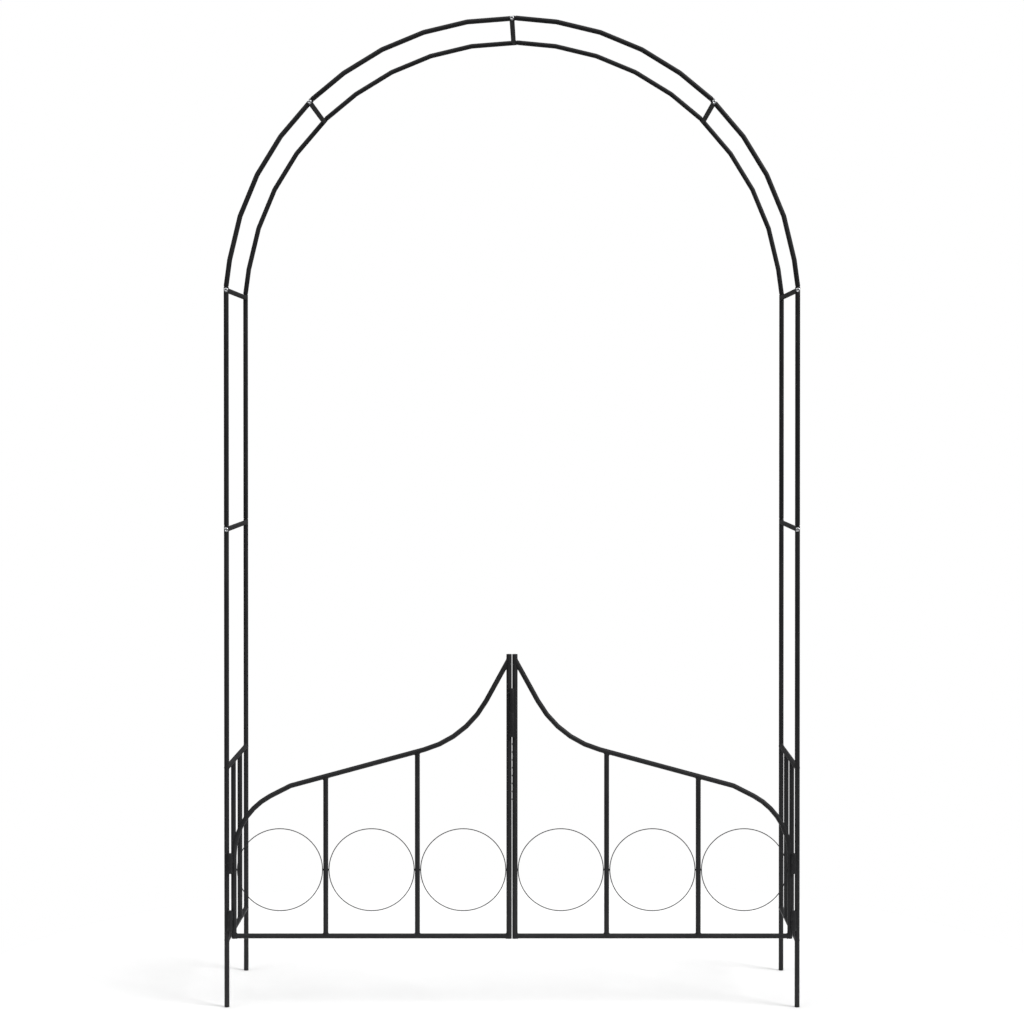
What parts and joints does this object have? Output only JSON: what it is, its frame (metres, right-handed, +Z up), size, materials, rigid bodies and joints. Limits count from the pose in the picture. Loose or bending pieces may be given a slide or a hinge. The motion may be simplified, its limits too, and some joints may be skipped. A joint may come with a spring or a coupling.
{
  "type": "metal trellis arch",
  "caption": "Free-standing garden arch of thin steel tube with rungs between two rounded hoops and a low double gate with a swept top, rings, barrel hinges and a slide latch.",
  "frame": {"origin": "on the ground plane under the middle of the overall width and depth", "axes": "+X to the right seen from the gate side, +Y from the gate towards the back, +Z up"},
  "size_m": [1.38, 0.4112, 2.3752],
  "materials": {
    "black_coat": "satin black powder coat",
    "zinc": "bright zinc plate"
  },
  "bodies": {
    "arch": {"front_left_lower_leg": "black_coat", "front_left_upper_leg": "black_coat", "front_left_lower_arch": "black_coat", "front_left_upper_arch": "black_coat", "front_right_lower_leg": "black_coat", "front_right_upper_leg": "black_coat", "front_right_lower_arch": "black_coat", "front_right_upper_arch": "black_coat", "back_left_lower_leg": "black_coat", "back_left_upper_leg": "black_coat", "back_left_lower_arch": "black_coat", "back_left_upper_arch": "black_coat", "back_right_lower_leg": "black_coat", "back_right_upper_leg": "black_coat", "back_right_lower_arch": "black_coat", "back_right_upper_arch": "black_coat", "left_lower_rung": "black_coat", "left_upper_rung": "black_coat", "left_shoulder_rung": "black_coat", "right_lower_rung": "black_coat", "right_upper_rung": "black_coat", "right_shoulder_rung": "black_coat", "crown_rung": "black_coat", "left_side_top_rail": "black_coat", "left_side_bottom_rail": "black_coat", "left_side_front_bar": "black_coat", "left_side_back_bar": "black_coat", "right_side_top_rail": "black_coat", "right_side_bottom_rail": "black_coat", "right_side_front_bar": "black_coat", "right_side_back_bar": "black_coat", "left_lower_hinge_pintle": "black_coat", "left_upper_hinge_pintle": "black_coat", "right_lower_hinge_pintle": "black_coat", "right_upper_hinge_pintle": "black_coat"},
    "left_leaf": {"left_gate_frame": "black_coat", "left_gate_inner_stile": "black_coat", "left_gate_inner_bar": "black_coat", "left_gate_outer_bar": "black_coat", "left_gate_bottom_rail": "black_coat", "left_gate_inner_ring": "black_coat", "left_gate_middle_ring": "black_coat", "left_gate_outer_ring": "black_coat", "left_lower_hinge_eye": "black_coat", "left_upper_hinge_eye": "black_coat", "latch_sleeve": "black_coat"},
    "right_leaf": {"right_gate_frame": "black_coat", "right_gate_inner_stile": "black_coat", "right_gate_inner_bar": "black_coat", "right_gate_outer_bar": "black_coat", "right_gate_bottom_rail": "black_coat", "right_gate_inner_ring": "black_coat", "right_gate_middle_ring": "black_coat", "right_gate_outer_ring": "black_coat", "right_lower_hinge_eye": "black_coat", "right_upper_hinge_eye": "black_coat", "latch_keeper": "black_coat"},
    "latch_bolt": {"latch_bolt": "zinc", "latch_knob": "black_coat"}
  },
  "joints": [
    {"name": "left_leaf_swing", "type": "hinge", "parent": "arch", "child": "left_leaf", "pos_m": [-0.67522, -0.19742, 0.184], "axis": [0, 0, -1], "range_deg": [0, 170]},
    {"name": "right_leaf_swing", "type": "hinge", "parent": "arch", "child": "right_leaf", "pos_m": [0.67522, -0.19742, 0.184], "axis": [0, 0, 1], "range_deg": [0, 170]},
    {"name": "latch_bolt_slide", "type": "slide", "parent": "left_leaf", "child": "latch_bolt", "axis": [0, 0, -1], "range_m": [0, 0.04]}
  ]
}
